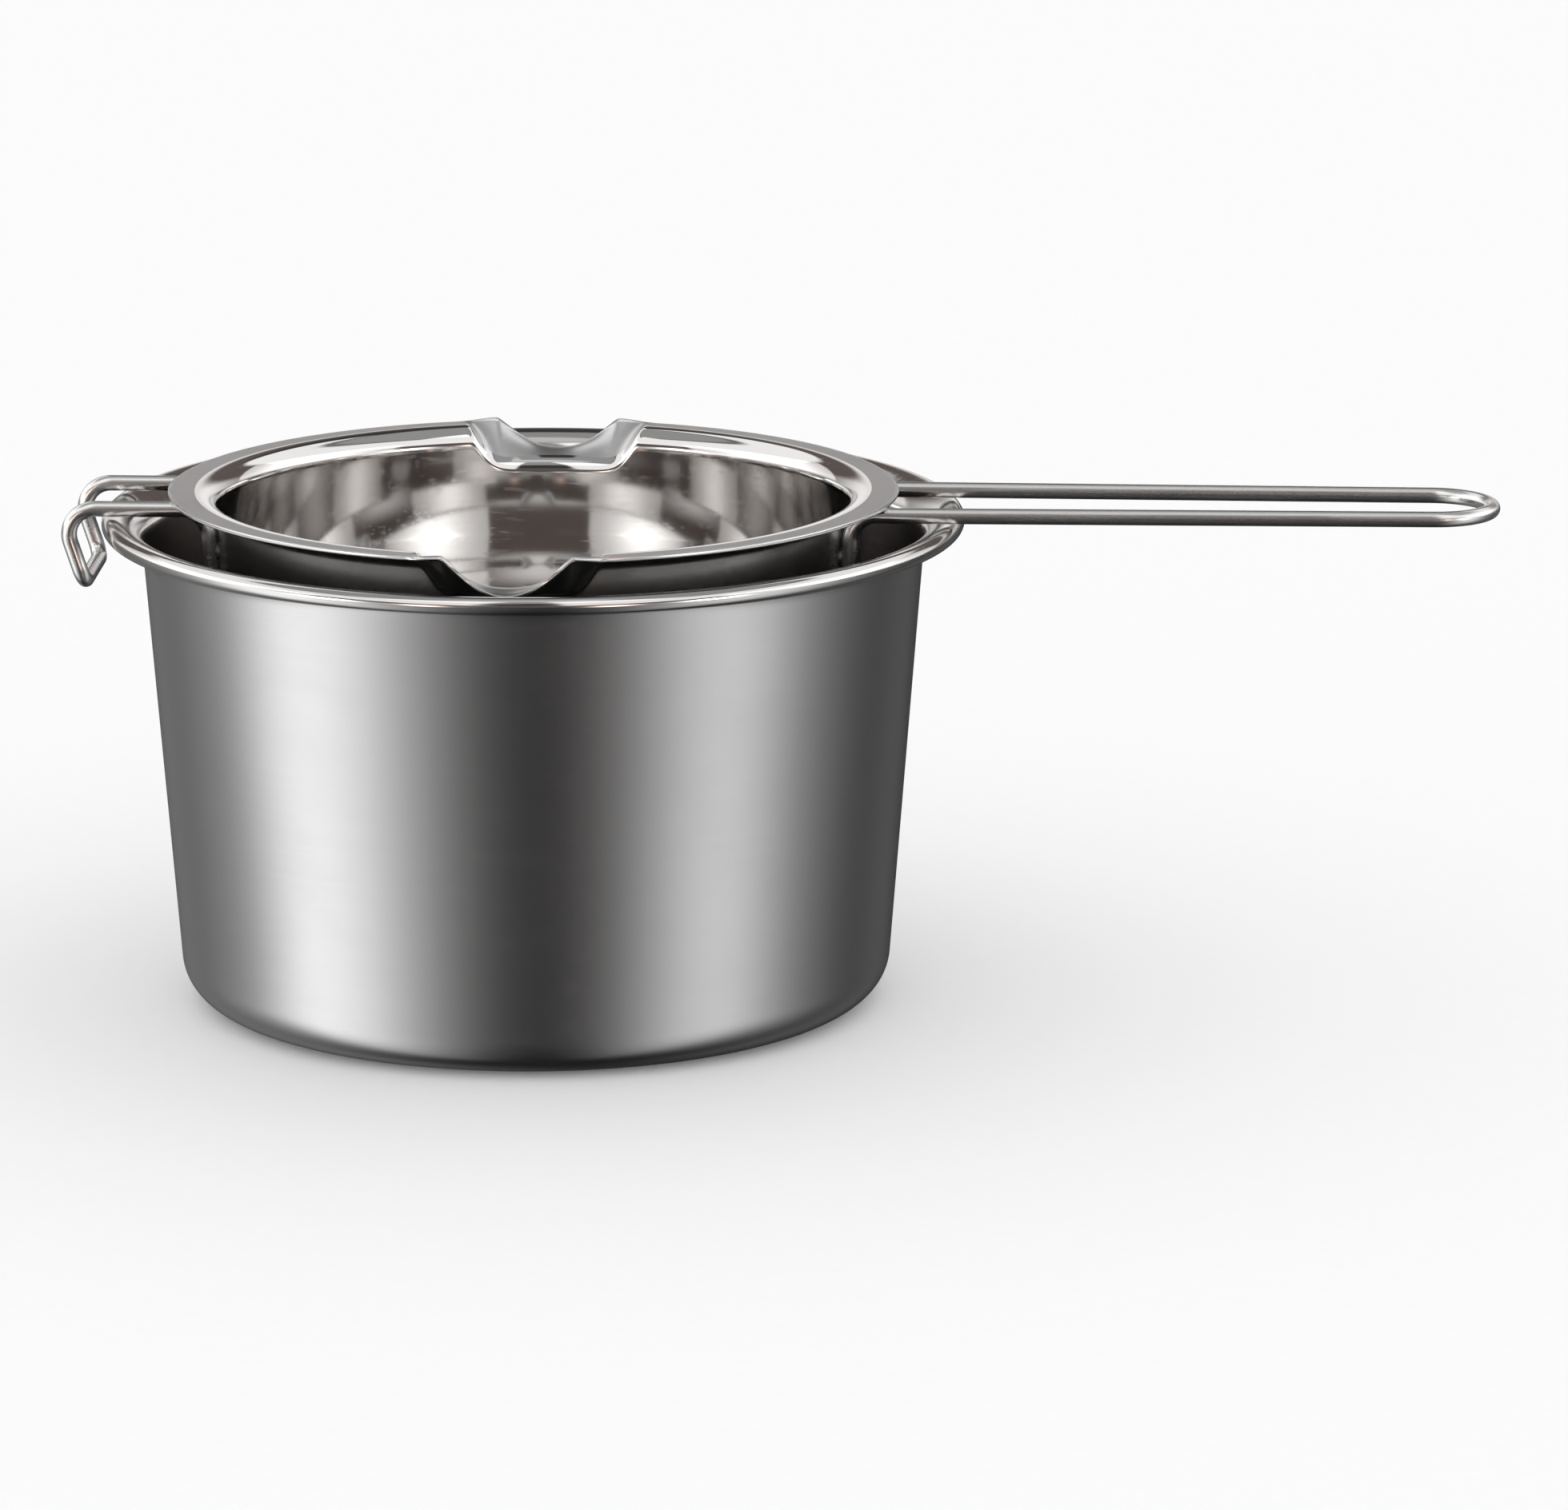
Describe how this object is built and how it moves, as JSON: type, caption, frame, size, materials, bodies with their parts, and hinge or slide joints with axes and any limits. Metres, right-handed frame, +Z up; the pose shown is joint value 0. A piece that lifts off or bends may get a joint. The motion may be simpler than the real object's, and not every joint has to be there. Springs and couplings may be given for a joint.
{
  "type": "double boiler",
  "caption": "Steel water pot with a flared rolled rim and a pouring bowl that hangs in its mouth by a long wire handle and a wire rim hook.",
  "frame": {"origin": "middle of the pot's flat base, on the surface that it stands on", "axes": "+Z up along the axis of pot and bowl, +X along the long handle, -X towards the rim hook, spouts at +Y and -Y"},
  "size_m": [0.2739, 0.1651, 0.0999],
  "materials": {
    "pot_steel": "satin polished outside, brushed round inside, bright rim",
    "bowl_steel": "satin polished outside, mirror inside, satin brim",
    "wire_steel": "polished drawn wire",
    "weld_steel": "dull weld spot"
  },
  "bodies": {
    "pot": {"lower_pot": "pot_steel"},
    "bowl": {"upper_bowl": "bowl_steel", "long_handle": "wire_steel", "rim_hook": "wire_steel", "handle_welds": "weld_steel", "hook_welds": "weld_steel"}
  },
  "joints": [
    {"name": "bowl_lift", "type": "slide", "parent": "pot", "child": "bowl", "axis": [0, 0, 1], "range_m": [0, 0.12]}
  ]
}
